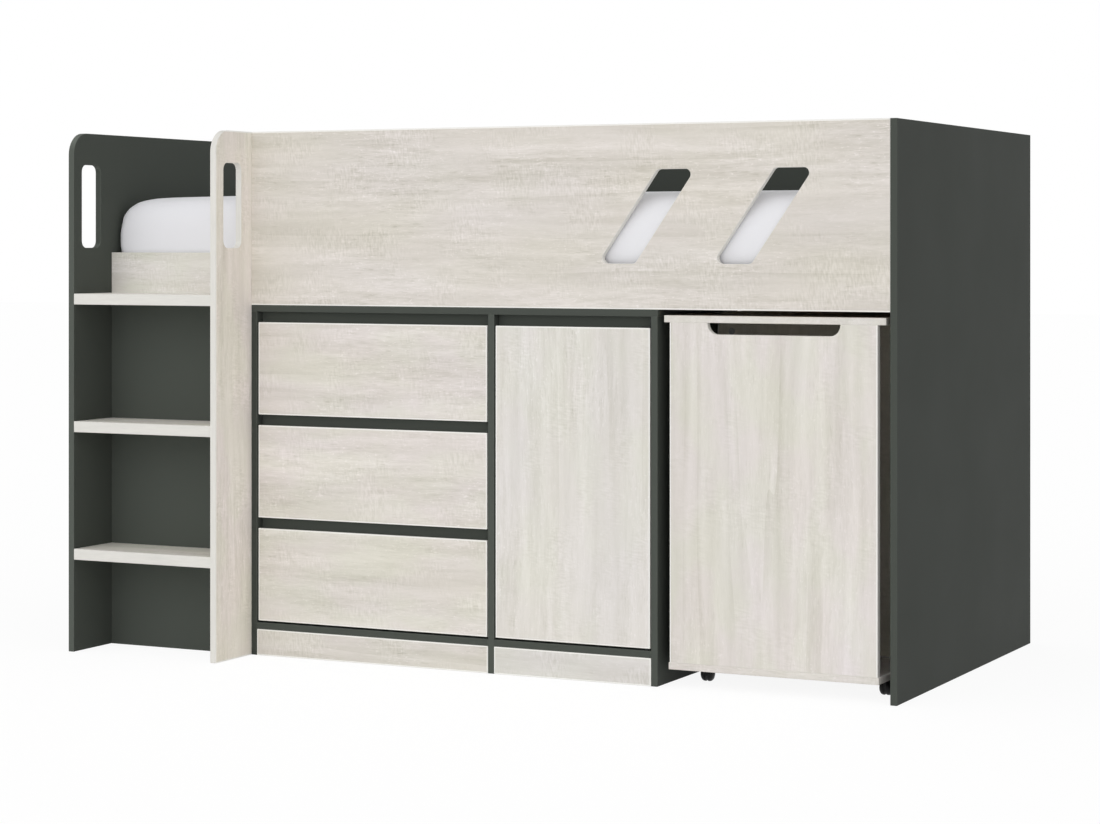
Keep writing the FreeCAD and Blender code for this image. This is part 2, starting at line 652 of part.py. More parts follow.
# Pull-out desk: a top on a shallow open pedestal at the front and a leg panel at the rear
nodes.append(board("desk_top", ("desk_width", "desk_length", "board"), ("desk_x", "desk_y", "desk_top_z")))


def desk_front():
    top = "desk_top_z - leg_z"
    middle = "desk_width / 2 - desk_overhang_left"
    left, right = f"{middle} - grip_width / 2", f"{middle} + grip_width / 2"
    low = f"{top} - grip_depth"
    outline = [("0", "0"), ("desk_front_width", "0"), ("desk_front_width", top), (right, top),
               (right, low), (left, low), (left, top), ("0", top)]
    body, pad = profile_body("desk_front_panel", "XZ_Plane", [outline], "board",
                             ("desk_front_x", "desk_y", "leg_z"))
    rounded = round_corners(body, pad, "XZ_Plane", outline[4:6], "grip_round")
    ease_edges(body, rounded)
    return body


nodes.append(desk_front())
desk_locks = []
for label, along in (("desk_inner_panel", "inner_panel_y"), ("desk_rear_leg", "rear_leg_y")):
    spot = ("desk_front_x", along, "leg_z")
    leg = board(label, ("desk_front_width", "board", "desk_top_z - leg_z"), spot)
    corners = end_corners("desk_front_width", ("desk_top_z - leg_z - cam_drop",))
    desk_locks.extend(cam_bores(leg, label, corners, "0", TURN_BACK, spot))
    nodes.append(leg)
nodes.append(group("desk_cam_locks", desk_locks))
nodes.append(board("desk_base_board", ("base_width", "pedestal_depth + board", "board"),
                   ("base_x", "desk_y", "castor_height")))
nodes.append(board("desk_rear_foot", ("base_width", "foot_depth", "board"),
                   ("base_x", "foot_y", "castor_height")))


# Castors: a plate with a web that carries two treads on one axle
def castor_housing(name, across, along):
    body = doc.addObject("PartDesign::Body", name)
    put(body, (across, along, "0"))
    plate = body.newObject("PartDesign::AdditiveBox", name + "_plate")
    web = body.newObject("PartDesign::AdditiveBox", name + "_web")
    blocks = (
        (plate, ("wheel_width", "plate_length", "plate_thickness"), "castor_height - plate_thickness"),
        (web, ("web_thickness", "2 * web_radius", "castor_height - wheel_radius"), "wheel_radius"),
    )
    for block, size, up in blocks:
        for prop, text in zip(("Length", "Width", "Height"), size):
            block.setExpression(prop, bound(text))
        put(block, (f"-({size[0]}) / 2", f"-({size[1]}) / 2", up))
    centre = ("-web_thickness / 2", "0", "wheel_radius")
    round_feature(body, "PartDesign::AdditiveCylinder", name + "_eye", "web_radius", "web_thickness",
                  centre, TURN_RIGHT)
    doc.recompute()
    bore(body, name + "_axle_bore", "axle_radius + axle_clearance", "web_thickness", centre, TURN_RIGHT)
    return body


def castor_wheel(label, across, along):
    """Two treads joined by their axle, turned in one piece."""
    body = doc.addObject("PartDesign::Body", label)
    half = "wheel_width / 2"
    cheek = "web_thickness / 2 + seat_clearance"
    right = [(half, "0"), (half, "wheel_radius"), (cheek, "wheel_radius"), (cheek, "axle_radius")]
    left = [(f"-({out})", up) for out, up in reversed(right)]
    sketch = outline_sketch(body, label + "_profile", "XZ_Plane", [right + left])
    turned = body.newObject("PartDesign::Revolution", label + "_turned")
    turned.Profile = sketch
    turned.ReferenceAxis = (sketch, ["H_Axis"])
    put(body, (across, along, "wheel_radius"))
    return body


housings = []
for end, along in (("front", "desk_y + castor_front"), ("rear", "foot_y + foot_depth / 2")):
    for side, across in (("left", "desk_x + castor_inset_left"),
                         ("right", "desk_x + desk_width - castor_inset_right")):
        housings.append(castor_housing(f"castor_housing_{end}_{side}", across, along))
        nodes.append(castor_wheel(f"castor_wheel_{end}_{side}", across, along))
nodes.append(group("castor_housings", housings))

doc.recompute()

# Every object is sound before anything is written
faults = [item.Label for item in doc.Objects if {"Invalid", "Error"} & set(item.State)]
for node in nodes:
    if node.Shape.isNull() or not node.Shape.isValid():
        faults.append(node.Label + " shape")
if faults:
    raise RuntimeError("failed: " + ", ".join(faults))

os.makedirs("parts", exist_ok=True)
for node in nodes:
    node.Shape.exportStep(f"parts/{node.Label}.step")
print(len(nodes), "nodes,", sum(len(node.Shape.Solids) for node in nodes), "solids,",
      sum(len(node.Shape.Faces) for node in nodes), "faces")
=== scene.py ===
# %% [markdown]
# # A cabin bed, dressed for its photograph
# The bed is a raised single bed in a kit of boards: three steps, a chest of drawers, a cupboard and a
# desk on castors that rolls out from under it. The solids come in ready made and stay where they are.
# This file gives them their finishes, swaps the plain mattress for a soft one and the plain castor
# wheels for moulded ones, and sets the light and the camera.

# %% load the solids
import math

import bmesh
import bpy
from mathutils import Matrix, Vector


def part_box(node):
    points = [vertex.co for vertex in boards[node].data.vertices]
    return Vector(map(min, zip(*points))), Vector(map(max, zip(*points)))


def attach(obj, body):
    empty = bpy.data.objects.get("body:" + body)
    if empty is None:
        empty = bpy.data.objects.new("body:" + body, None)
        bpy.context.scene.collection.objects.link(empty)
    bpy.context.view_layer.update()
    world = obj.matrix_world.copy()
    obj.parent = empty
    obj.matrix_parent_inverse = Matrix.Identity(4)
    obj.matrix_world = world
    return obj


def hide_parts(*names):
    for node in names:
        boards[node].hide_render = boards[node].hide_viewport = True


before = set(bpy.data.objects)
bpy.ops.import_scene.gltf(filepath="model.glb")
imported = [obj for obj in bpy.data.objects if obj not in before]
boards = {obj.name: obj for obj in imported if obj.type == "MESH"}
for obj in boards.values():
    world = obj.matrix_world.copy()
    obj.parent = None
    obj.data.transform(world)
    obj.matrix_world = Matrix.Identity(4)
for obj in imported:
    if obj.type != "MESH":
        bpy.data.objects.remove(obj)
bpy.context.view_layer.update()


def placed(name, data):
    """An object made of the given data, put in the scene."""
    piece = bpy.data.objects.new(name, data)
    bpy.context.scene.collection.objects.link(piece)
    return piece


# %% [markdown]
# ## The camera
# The upright edges of the furniture are upright in the picture too, so the camera stood level and the
# lens was slid down to frame the bed, as a view camera does. Turning the camera down instead would
# make the uprights lean. The lens length, the turn to the left and the slide were worked out from the
# vanishing lines of the guard panel and the end panel.

# %% camera
turn_left = 26.32
lens = bpy.data.cameras.new("view_lens")
lens.sensor_fit = "HORIZONTAL"
lens.sensor_width = 36.0
lens.lens = 87.68
lens.shift_y = -0.1521
lens.clip_end = 100.0
camera = placed("view", lens)
camera.location = (2.7681, -5.6186, 0.9412)
camera.rotation_euler = (math.radians(90), 0, math.radians(turn_left))
bpy.context.scene.camera = camera
bpy.context.scene.view_settings.view_transform = "Standard"
print("camera at", tuple(round(value, 3) for value in camera.location), "turned left", turn_left)

# %% [markdown]
# ## Sums on sockets
# A finish is arithmetic on patterns: a little of this streak, minus some of that line. Wiring Math
# nodes by hand hides the arithmetic, so one small class wraps a socket and turns Python's operators
# into Math nodes. Every other kind of node comes from its one method, which sets the node's own
# settings first and then its inputs.

# %% a socket that does sums
class Wire:
    """One output of a shader node; a sum of wires and numbers adds its Math nodes."""

    def __init__(self, tree, socket=None):
        self.tree = tree
        self.socket = socket

    def node(self, kind, settings=None, inputs=None, out=0):
        """Adds a node of any kind: settings first, then values or wires into its inputs."""
        made = self.tree.nodes.new(kind)
        for name, value in (settings or {}).items():
            setattr(made, name, value)
        for name, value in (inputs or {}).items():
            if isinstance(value, Wire):
                self.tree.links.new(value.socket, made.inputs[name])
            else:
                made.inputs[name].default_value = value
        return Wire(self.tree, made.outputs[out] if made.outputs else None)

    def sum(self, operation, first, second=0.0):
        """Adds one Math node on wires or numbers."""
        return self.node("ShaderNodeMath", {"operation": operation}, {0: first, 1: second})

    def __add__(self, other):
        return self.sum("ADD", self, other)

    __radd__ = __add__

    def __sub__(self, other):
        return self.sum("SUBTRACT", self, other)

    def __rsub__(self, other):
        return self.sum("SUBTRACT", other, self)

    def __mul__(self, other):
        return self.sum("MULTIPLY", self, other)

    __rmul__ = __mul__

    def __abs__(self):
        return self.sum("ABSOLUTE", self)

    def least(self, other):
        return self.sum("MINIMUM", self, other)

    def most(self, other):
        return self.sum("MAXIMUM", self, other)


print("operators:", [name for name in vars(Wire) if name.startswith("__")])


# %% colours
def linear(red, green, blue):
    """A colour as read from a picture, 0 to 255, in the linear light that shaders use."""
    shares = [value / 255 for value in (red, green, blue)]
    return tuple(s / 12.92 if s <= 0.04045 else ((s + 0.055) / 1.055) ** 2.4 for s in shares) + (1.0,)


def spread(value, low, high, first=0.0, last=1.0):
    """Stretches low..high to first..last and stops at both ends."""
    return value.node("ShaderNodeMapRange", {"clamp": True}, {
        "Value": value, "From Min": low, "From Max": high, "To Min": first, "To Max": last})


def swing(middle, amount, pattern):
    """A middle value that a pattern moves up and down, by half the amount each way."""
    return middle + amount * (pattern - 0.5)


def mixed(amount, first, second, way="MIX"):
    """Two colours mixed, or multiplied."""
    wire = next(item for item in (amount, first, second) if isinstance(item, Wire))
    return wire.node("ShaderNodeMix", {"data_type": "RGBA", "blend_type": way},
                     {0: amount, 6: first, 7: second}, out=2)


def shaded(colour, value):
    """A colour made lighter or darker by a value near 1, or by one for each of its three lights."""
    return mixed(1.0, colour, value, "MULTIPLY")


print("mid grey in linear light:", round(linear(128, 128, 128)[0], 3))


# %% patterns
seed_steps = (3.7, 5.1, 7.3)


def specks(place, scale, detail=2.0):
    """Noise that is the same in every direction; scale is cells per metre."""
    return place.node("ShaderNodeTexNoise", None, {"Vector": place, "Scale": scale, "Detail": detail})


def drawn_out(place, axis, along, across, seed, detail=2.0, keep=0.5):
    """Noise pulled out along one axis; along and across are cells per metre.

    Each finer layer of detail keeps that share of the strength of the one before.
    """
    scale = [across, across, across]
    scale["XYZ".index(axis)] = along
    moved = place.node("ShaderNodeMapping", None, {
        "Vector": place, "Location": [seed * step for step in seed_steps], "Scale": scale})
    return place.node("ShaderNodeTexNoise", None, {
        "Vector": moved, "Scale": 1.0, "Detail": detail, "Roughness": keep})


def part_of(vector, axis):
    """One coordinate of a vector."""
    return vector.node("ShaderNodeSeparateXYZ", None, {0: vector}, out="XYZ".index(axis))


def shifted(place, axes, amount):
    """A place moved by an amount along each of the given axes."""
    way = tuple(1.0 if axis in axes else 0.0 for axis in "XYZ")
    move = place.node("ShaderNodeVectorMath", {"operation": "SCALE"}, {0: way, "Scale": amount})
    return place.node("ShaderNodeVectorMath", {"operation": "ADD"}, {0: place, 1: move})


print("step between two seeds, in cells:", seed_steps)


# %% where on a board
flat_face, sloped_face = 0.97, 0.80


def thin_axis(node):
    """The axis along which a board is thin."""
    low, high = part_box(node)
    sizes = [high[i] - low[i] for i in range(3)]
    return "XYZ"[sizes.index(min(sizes))]


def inward_from(place, node, axes):
    """How far a place lies in from a board's nearest outer edge along the given axes, in metres."""
    low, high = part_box(node)
    inward = None
    for axis in axes:
        i = "XYZ".index(axis)
        near = (part_of(place, axis) - low[i]).least(high[i] - part_of(place, axis))
        inward = near if inward is None else inward.least(near)
    return inward


def eased_edges(facing):
    """1 on the narrow sloped faces that break a board's edges, 0 on its flat faces."""
    largest = abs(part_of(facing, "X"))
    for axis in "YZ":
        largest = largest.most(abs(part_of(facing, axis)))
    return spread(largest, flat_face, sloped_face)


print("the guard panel is thin along", thin_axis("front_guard_panel"))


# %% a finish
def make_finish(name, paint):
    """A material whose surface inputs come from paint(place, facing)."""
    material = bpy.data.materials.new(name)
    material.use_nodes = True
    tree = material.node_tree
    tree.nodes.clear()
    start = Wire(tree)
    place = start.node("ShaderNodeTexCoord", out="Object")
    facing = start.node("ShaderNodeTexCoord", out="Normal")
    surface = start.node("ShaderNodeBsdfPrincipled", None, paint(place, facing))
    start.node("ShaderNodeOutputMaterial", None, {"Surface": surface})
    return material


def bumped(height, strength, distance):
    """A surface relief from a height pattern; distance is in metres."""
    return height.node("ShaderNodeBump", None, {
        "Height": height, "Strength": strength, "Distance": distance})


finishes = {}
print("finishes so far:", len(finishes))

# %% [markdown]
# ## Floor, world and lamp
# The picture is a cut-out on white with soft, even light. A white world would light the bed far too
# much, so the world is white only to rays that come from the camera or from gloss, and plainer to the
# rays that light the boards. That plainer light comes mostly from the front, as it does for a bed
# that stands near a wall: the fronts are then brighter than the end panel, and the bay behind the
# desk stays black. The floor is white in the same way, but keeps a share of its own shading so that
# the bed still has a shadow. One wide lamp from the front and above firms up the edges.

# %% world
def seen_directly(start):
    """1 for rays from the camera, from gloss and through glass."""
    seen = start.node("ShaderNodeLightPath", out="Is Camera Ray")
    for ray in ("Is Glossy Ray", "Is Transmission Ray"):
        seen = seen.most(start.node("ShaderNodeLightPath", out=ray))
    return seen


sky_level, sky_slope = 0.66, 0.40
pure_white = (1, 1, 1, 1)
world = bpy.data.worlds.new("studio")
world.use_nodes = True
world.node_tree.nodes.clear()
start = Wire(world.node_tree)
backward = part_of(start.node("ShaderNodeTexCoord", out="Generated"), "Y")
sky = start.node("ShaderNodeBackground", None, {
    "Color": pure_white, "Strength": sky_level - sky_slope * backward})
white = start.node("ShaderNodeBackground", None, {"Color": pure_white, "Strength": 1.0})
both = start.node("ShaderNodeMixShader", None, {0: seen_directly(start), 1: sky, 2: white})
start.node("ShaderNodeOutputWorld", None, {"Surface": both})
bpy.context.scene.world = world
print("sky", sky_level, "and", sky_slope, "less at the back")

# %% floor
floor_white = (0.95, 0.95, 0.95, 1)
floor_glow, glow_share = 1.03, 0.88
floor_reach, floor_drop = 30.0, 0.0005
floor_paint = bpy.data.materials.new("white_floor")
floor_paint.use_nodes = True
floor_paint.node_tree.nodes.clear()
start = Wire(floor_paint.node_tree)
matt = start.node("ShaderNodeBsdfDiffuse", None, {"Color": floor_white})
glow = start.node("ShaderNodeEmission", None, {"Color": pure_white, "Strength": floor_glow})
both = start.node("ShaderNodeMixShader", None, {0: seen_directly(start) * glow_share, 1: matt, 2: glow})
start.node("ShaderNodeOutputMaterial", None, {"Surface": both})

floor_mesh = bpy.data.meshes.new("floor")
sheet = bmesh.new()
bmesh.ops.create_grid(sheet, x_segments=4, y_segments=4, size=floor_reach)
sheet.to_mesh(floor_mesh)
sheet.free()
floor_mesh.materials.append(floor_paint)
floor = placed("floor", floor_mesh)
floor.location.z = -floor_drop
print("floor of", 2 * floor_reach, "metres, glowing by", glow_share)

# %% lamp
lamp_way = Vector((-0.30, 1.0, -0.60))
lamp = bpy.data.lights.new("front_lamp", "SUN")
lamp.energy = 0.5
lamp.angle = math.radians(70)
lamp_stand = placed("front_lamp", lamp)
lamp_stand.rotation_euler = lamp_way.to_track_quat("-Z", "Y").to_euler()
print("lamp of", lamp.energy, "shining towards", tuple(round(value, 2) for value in lamp_way))

# %% [markdown]
# ## Limed oak board
# The pale boards are faced with a print of sawn, limed oak. Its pattern is almost all lightness, and
# about as strong at every size, from bands as wide as a hand down to single fibres. So the fibre is
# one noise pulled out along the grain, with layers of detail that hardly weaken, livelier in some
# places than in others. Over it lie long dark lines with one sharp side, patches of short saw
# marks across the grain, small flecks of lime and dark nicks. What is darker is also a little more
# straw, and broad zones lean to pink or to straw, more on some boards than on others. The edges carry
# a plainer, paler strip. Just inside each board's outer edges a fine near-white line is painted on the
# face, a painted highlight where the edge catches the light. On the desk the edges are matched to the
# faces, and a board that meets another one has no painted highlight on that edge. Each board has its
# own tone; on the steps, the step side panel and the desk's inner panel that tone also paints in light.
# The pattern is solid in three dimensions, so it meets itself round corners and stays put when a
# drawer moves.

# %% oak patterns
# Cells per metre along the grain and across it, a number for the seed, layers of detail, and the share
# of its strength that each finer layer keeps.
oak_patterns = {
    "sway": (1.6, 5.0, 0.5, 1.0, 0.5), "zone": (5.0, 11.0, 0.0, 2.0, 0.5),
    "bands": (0.9, 15.0, 1.0, 2.0, 1.0), "runs": (0.4, 12.0, 2.0, 1.0, 0.5),
    "strength": (2.5, 12.0, 3.0, 1.0, 0.5), "fibre": (8.0, 75.0, 4.0, 3.0, 1.0),
    "patch": (10.0, 15.0, 5.0, 2.0, 0.5), "saw": (220.0, 66.0, 6.0, 1.0, 0.5),
    "fleck": (110.0, 230.0, 7.0, 1.0, 0.5), "mottle": (12.0, 30.0, 8.0, 3.0, 1.0),
    "nick": (38.0, 250.0, 9.0, 1.0, 0.5), "straw": (2.5, 9.0, 10.0, 1.0, 0.5),
    "lively": (4.0, 10.0, 11.0, 1.0, 0.5),
}
# The part of a pattern's range that is stretched out, and to what where that isn't 0 to 1.
oak_ranges = {
    "zone": (0.42, 0.58), "strength": (0.46, 0.66), "patch": (0.46, 0.64), "saw": (0.32, 0.68),
    "fleck": (0.64, 0.72), "nick": (0.64, 0.74), "lively": (0.35, 0.65, 0.4, 1.5),
}
# What each pattern adds to the lightness.
oak_shares = {
    "bands": 0.34, "mottle": 0.07, "line": -0.08,
    "fibre": 0.36, "fleck": 0.08, "nick": -0.07, "saw": 0.12,
}
sway_width, saw_lean, lines_per_run = 0.04, 0.10, 5.0
print(len(oak_patterns), "patterns make the oak")

# %% oak colours, edges and gloss
oak_pink = linear(225, 216.5, 214)
oak_straw = linear(222, 218.5, 208)
straw_power, straw_share = 1.22, 0.08
edge_strip = linear(229, 227, 221)
# A near-white line painted on the face just inside the outer edges, a painted highlight, and its width.
painted_edge_glint = linear(255, 255, 251)
glint_inner, glint_outer, glint_share = 0.0034, 0.0022, 0.85
strip_fibre = 0.20
face_turn = (0.80, 0.95)
matched_edges = {"desk_top": 0.6, "desk_base_board": 0.75}
# The edges along which each board carries the painted highlight line.
glinted_edges = {"desk_front_panel": "X", "front_guard_panel": "Z", "entry_rail": ""}
oak_rough, rough_fibre, rough_saw = 0.62, 0.20, 0.12
relief_saw, relief_line = 0.5, 0.2
print("light line", glint_inner, "metres wide")


# %% limed oak
def oak_lightness(look, bold, fine):
    """The lightness of the oak from its patterns, near 1."""
    runs, share = look["runs"], oak_shares
    line = spread(runs.sum("FRACT", runs * lines_per_run), 0.5, 0.0) * look["strength"]
    broad = share["bands"] * (look["bands"] - 0.5) + share["mottle"] * (look["mottle"] - 0.5)
    small = share["fibre"] * (look["fibre"] - 0.5) + share["fleck"] * look["fleck"]
    saw = fine * share["saw"] * look["patch"] * (look["saw"] - 0.5)
    value = (1.0 + bold * (broad + share["line"] * line)
             + fine * look["lively"] * (small + share["nick"] * look["nick"]) + saw)
    return value, line


def limed_oak(node, grain, seed, bold, fine, zoned, tone):
    """The pale board for one node: its grain runs along an axis.

    Bold is the strength of its bands, fine that of its fibres and zoned that of its pink and straw.
    """
    thin = thin_axis(node)
    across = next(axis for axis in "XYZ" if axis not in (grain, thin))

    def pattern(name, place):
        along, wide, number, detail, keep = oak_patterns[name]
        noise = drawn_out(place, grain, along, wide, seed + number, detail, keep)
        return spread(noise, *oak_ranges[name]) if name in oak_ranges else noise

    def paint(place, facing):
        swayed = shifted(place, "XYZ".replace(grain, ""), (pattern("sway", place) - 0.5) * sway_width)
        leaning = shifted(place, grain, part_of(place, across) * saw_lean)
        look = {name: pattern(name, place) for name in ("zone", "straw", "mottle", "lively", "patch")}
        for name in ("bands", "runs", "strength", "fibre", "fleck", "nick"):
            look[name] = pattern(name, swayed)
        look["saw"] = pattern("saw", leaning)
        value, line = oak_lightness(look, bold, fine)
        blue = value.sum("POWER", value, straw_power) * swing(1.0, straw_share, look["straw"])
        light = value.node("ShaderNodeCombineColor", None, {0: value, 1: value, 2: blue})
        oak = mixed(swing(0.5, zoned, look["zone"]), oak_pink, oak_straw)
        # The tone is the board's own, and on some boards it also paints in light.
        face = shaded(shaded(oak, light), tone + (1.0,))
        pale = shaded(edge_strip, swing(1.0, strip_fibre, look["fibre"]))
        strip = mixed(matched_edges.get(node, 0.0), pale, face)
        on_face = spread(abs(part_of(facing, thin)), *face_turn)
        # The painted highlight: a near-white line on the face just inside the outer edges.
        inward = inward_from(place, node, glinted_edges.get(node, "XYZ").replace(thin, ""))
        painted_glint = 0.0 if inward is None else spread(inward, glint_inner, glint_outer) * glint_share
        relief = look["fibre"] + relief_saw * look["patch"] * look["saw"] - relief_line * line
        rough = swing(oak_rough, rough_fibre, look["fibre"])
        return {
            "Base Color": mixed(on_face, strip, mixed(painted_glint, face, painted_edge_glint)),
            "Roughness": rough + rough_saw * look["patch"] * (look["saw"] - 0.5),
            "Normal": bumped(relief, strength=0.20, distance=0.0006),
            "Specular IOR Level": 0.15,
        }

    return make_finish("limed_oak_" + node, paint)


print("limed oak from", oak_pink[:3], "to", oak_straw[:3])

# %% pale boards
pale_grain = {
    "front_guard_panel": "X", "entry_rail": "X", "plinth_left": "X", "plinth_right": "X",
    "drawer_bottom_front": "X", "drawer_middle_front": "X", "drawer_top_front": "X",
    "step_top": "X", "step_middle": "X", "step_bottom": "X", "step_side_panel": "Z",
    "cupboard_door": "Z", "desk_front_panel": "Z", "desk_inner_panel": "Z", "desk_rear_leg": "Z",
    "desk_top": "Y", "desk_base_board": "X", "desk_rear_foot": "X",
}
# Each board's own tone of the print. The tones of the steps and the step side panel also paint in light,
# raised for the light that falls on them, and that of the desk's inner panel, in the shade behind the
# desk, is raised and turned yellower as painted warm bounced light.
step_painted_light = (1.12, 1.15, 1.14)
tones_and_painted_light = {
    "front_guard_panel": (0.975, 0.978, 0.955), "entry_rail": (1.08, 1.12, 1.10),
    "cupboard_door": (1.03, 1.06, 1.062), "desk_front_panel": (1.025, 1.04, 1.038),
    "desk_inner_panel": (1.10, 1.11, 1.02), "desk_top": (1.0, 1.015, 1.0),
    "step_side_panel": (1.15, 1.15, 1.12), "step_top": step_painted_light, "step_middle": step_painted_light,
    "step_bottom": step_painted_light, "drawer_top_front": (1.0, 1.006, 0.995),
    "drawer_middle_front": (1.035, 1.04, 1.03), "drawer_bottom_front": (0.985, 1.0, 0.965),
    "plinth_left": (0.96, 0.97, 0.96), "plinth_right": (0.92, 0.95, 0.95),
}
# Bold, fine and zoned.
usual_strengths = (0.95, 1.0, 0.5)
grain_strengths = {
    "front_guard_panel": (1.25, 1.2, 0.12), "cupboard_door": (0.85, 0.78, 0.32),
    "plinth_left": (1.3, 1.3, 0.3), "plinth_right": (1.3, 1.3, 0.3),
    "desk_front_panel": (1.15, 0.6, 0.6), "desk_inner_panel": (0.7, 0.7, 0.3),
}
first_seed, next_seed = 1.0, 2.37
for number, (node, grain) in enumerate(pale_grain.items()):
    bold, fine, zoned = grain_strengths.get(node, usual_strengths)
    tone = tones_and_painted_light.get(node, (1.0, 1.0, 1.0))
    finishes[node] = limed_oak(node, grain, first_seed + next_seed * number, bold, fine, zoned, tone)
print(len(finishes), "limed oak boards")

# %% [markdown]
# ## Charcoal board
# The carcass, the end panels and the rear guard are a plain charcoal with a breath of green. Such a
# board isn't flat black: it is pressed with a fine pebble and a little cloudy in its gloss, and its
# eased edges are painted lighter, a painted highlight. The outer edges carry a strip of their own, and
# each board has its own share of the charcoal on its faces and on that strip. These shares also paint
# light and shade: the faces of the right end panel, the rear guard and the right cabinet side are
# darker and several front edges lighter, as the light falls on them, and the front edge of the left
# cabinet side is darker with a painted shadow of the step side panel. The edges of a slot are bare
# and go with the faces.

# %% charcoal board
charcoal = linear(78, 82, 77)
strip_depth = (0.020, 0.024)
# How much lighter the eased edges are painted, as a highlight.
eased_edge_highlight = 0.40


def charcoal_board(node, on_faces, on_edges):
    """The dark board for one node, with its share of the charcoal on its faces and its outer edges."""
    thin = thin_axis(node)

    def paint(place, facing):
        pebble, cloud = specks(place, 900.0), specks(place, 5.0, 3.0)
        inward = inward_from(place, node, "XYZ".replace(thin, ""))
        bare = spread(abs(part_of(facing, thin)), 0.3, 0.9).most(spread(inward, *strip_depth))
        # The board's shares paint light and shade onto its faces and its outer edges.
        share = spread(bare, 0.0, 1.0, on_edges, on_faces)
        # The eased edges are painted lighter: a painted highlight.
        value = swing(0.985 + 0.03 * cloud, 0.06, pebble) + eased_edge_highlight * eased_edges(facing)
        return {
            "Base Color": shaded(charcoal, value * share),
            "Roughness": swing(swing(0.50, 0.12, cloud), 0.08, pebble),
            "Normal": bumped(pebble, strength=0.08, distance=0.0003),
            "Specular IOR Level": 0.03,
        }

    return make_finish("charcoal_" + node, paint)


print("charcoal", tuple(round(value, 3) for value in charcoal[:3]))

# %% dark boards
# The share of the charcoal on the faces and on the outer edges, which also paints light and shade on
# them.
dark_shares_and_painted_light = {
    "left_end_panel": (0.97, 1.38), "right_end_panel": (0.65, 1.0), "step_back_panel": (1.13, 1.0),
    "rear_guard_panel": (0.66, 1.0), "cabinet_left_side": (1.0, 0.78), "cabinet_divider": (1.0, 1.15),
    "cabinet_right_side": (0.78, 1.10), "cabinet_top": (1.0, 1.0), "drawer_bay_floor": (1.0, 1.0),
    "cupboard_floor": (1.0, 1.0), "drawer_finger_rails": (1.12, 1.0), "door_finger_rail": (1.12, 1.0),
    "cupboard_shelf": (1.0, 1.0),
}
for node, (on_faces, on_edges) in dark_shares_and_painted_light.items():
    finishes[node] = charcoal_board(node, on_faces, on_edges)
print(len(finishes), "boards with a finish")

# %% [markdown]
# ## Inner boards, slats and fittings
# The drawer boxes are white board with a faint printed line, and the thin backs and drawer bottoms are
# hardboard. The slats are planed softwood with its own darker summer lines. The slides are drawn
# steel, so their gloss has streaks along them. The cam locks and pins are zinc castings with a
# grainy skin, and the castors are moulded black plastic.

# %% inner boards and slats
def paint_drawer_board(place, facing):
    grain = drawn_out(place, "Y", 6.0, 300.0, 3.1, 2.0)
    speck = specks(place, 700.0, 1.0)
    white_board = mixed(spread(grain, 0.3, 0.7), linear(226, 224, 220), linear(216, 214, 209))
    return {
        # The eased edges are painted a little lighter, a painted highlight.
        "Base Color": shaded(white_board, swing(1.0, 0.05, speck) + 0.05 * eased_edges(facing)),
        "Roughness": swing(0.5, 0.1, speck),
        "Normal": bumped(grain, strength=0.12, distance=0.0003),
    }


def paint_hardboard(place, facing):
    fibre, cloud = specks(place, 420.0, 4.0), specks(place, 7.0)
    tone = mixed(spread(fibre, 0.35, 0.65), linear(196, 188, 174), linear(212, 206, 194))
    return {
        "Base Color": shaded(tone, 0.96 + 0.08 * cloud),
        "Roughness": swing(0.7, 0.1, fibre),
        "Normal": bumped(fibre, strength=0.2, distance=0.0004),
    }


def slat_finish(name, grain):
    """Planed softwood with its grain along an axis."""
    def paint(place, facing):
        rings = drawn_out(place, grain, 1.5, 70.0, 5.3, 2.0)
        pores = drawn_out(place, grain, 25.0, 900.0, 6.1, 2.0)
        tint = mixed(spread(rings, 0.35, 0.65), linear(222, 194, 150), linear(190, 150, 103))
        return {
            # The eased edges are painted a little lighter, a painted highlight.
            "Base Color": shaded(tint, swing(0.97, 0.10, pores) + 0.05 * eased_edges(facing)),
            "Roughness": swing(0.6, 0.12, pores),
            "Normal": bumped(rings + pores, strength=0.2, distance=0.0004),
        }
    return make_finish(name, paint)


drawer_levels = ("bottom", "middle", "top")
drawer_board = make_finish("drawer_board", paint_drawer_board)
hardboard = make_finish("hardboard", paint_hardboard)
for level in drawer_levels:
    for side in ("sides", "back"):
        finishes[f"drawer_{level}_{side}"] = drawer_board
    finishes[f"drawer_{level}_bottom"] = hardboard
finishes["cabinet_back"] = hardboard
finishes["bed_slats"] = slat_finish("planed_slats", "Y")
finishes["slat_rail_front"] = finishes["slat_rail_rear"] = slat_finish("planed_rails", "X")
print(len(finishes), "boards with a finish")


# %% metal and plastic
def paint_slide_steel(place, facing):
    draw = drawn_out(place, "Y", 4.0, 1500.0, 2.2, 2.0)
    dull = specks(place, 30.0)
    return {
        "Base Color": mixed(spread(draw, 0.3, 0.7), linear(188, 190, 192), linear(206, 207, 208)),
        "Metallic": 1.0,
        "Roughness": swing(swing(0.32, 0.12, draw), 0.12, dull),
        "Normal": bumped(draw, strength=0.08, distance=0.0002),
    }


def paint_zinc(place, facing):
    skin = place.node("ShaderNodeTexVoronoi", None, {"Vector": place, "Scale": 900.0})
    dull = specks(place, 160.0)
    return {
        "Base Color": mixed(spread(dull, 0.35, 0.65), linear(168, 168, 166), linear(192, 191, 188)),
        "Metallic": 1.0,
        "Roughness": swing(0.42, 0.18, dull),
        "Normal": bumped(skin, strength=0.10, distance=0.0003),
    }


